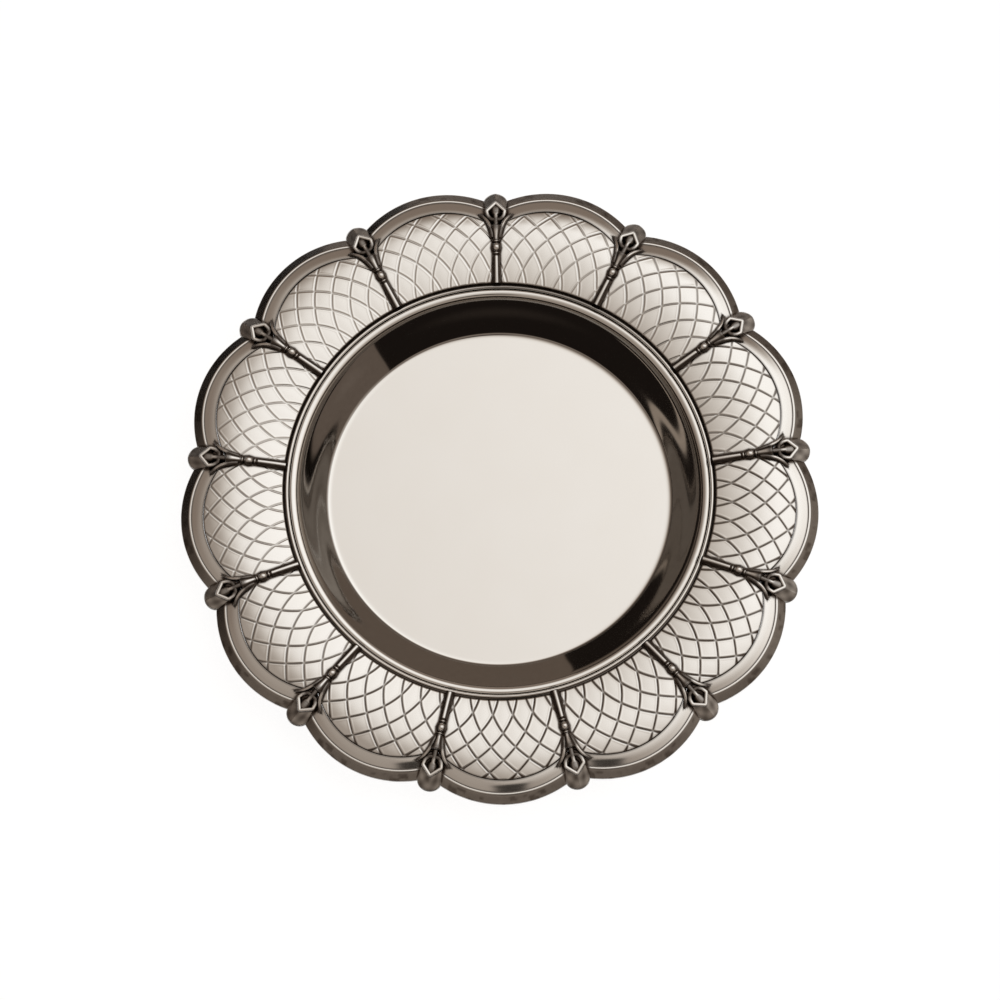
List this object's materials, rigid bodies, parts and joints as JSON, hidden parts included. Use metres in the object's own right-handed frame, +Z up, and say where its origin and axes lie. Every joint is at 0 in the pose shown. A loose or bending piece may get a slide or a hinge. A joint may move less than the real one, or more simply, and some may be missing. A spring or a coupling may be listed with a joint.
{
  "type": "kiddush cup saucer",
  "caption": "Round silver saucer with a flat well for a kiddush cup, a lattice-engraved lobed border, cast tassel ribs and a bevelled scalloped edge.",
  "frame": {"origin": "centre of the well's flat underside, on the saucer's turning axis", "axes": "+Z up along the turning axis, +Y along the first rib, away from the picture's camera"},
  "size_m": [0.1298, 0.1293, 0.0111],
  "materials": {
    "bright_silver": "mirror polished",
    "dark_silver": "polished, darkened in its hollows"
  },
  "bodies": {
    "root": {"well_pan": "bright_silver", "well_bead": "bright_silver", "thin_wire": "bright_silver", "border": "bright_silver", "edge_01": "dark_silver", "edge_02": "dark_silver", "edge_03": "dark_silver", "edge_04": "dark_silver", "edge_05": "dark_silver", "edge_06": "dark_silver", "edge_07": "dark_silver", "edge_08": "dark_silver", "edge_09": "dark_silver", "edge_10": "dark_silver", "edge_11": "dark_silver", "edge_12": "dark_silver", "edge_13": "dark_silver", "rib_01": "dark_silver", "rib_02": "dark_silver", "rib_03": "dark_silver", "rib_04": "dark_silver", "rib_05": "dark_silver", "rib_06": "dark_silver", "rib_07": "dark_silver", "rib_08": "dark_silver", "rib_09": "dark_silver", "rib_10": "dark_silver", "rib_11": "dark_silver", "rib_12": "dark_silver", "rib_13": "dark_silver"}
  },
  "joints": []
}
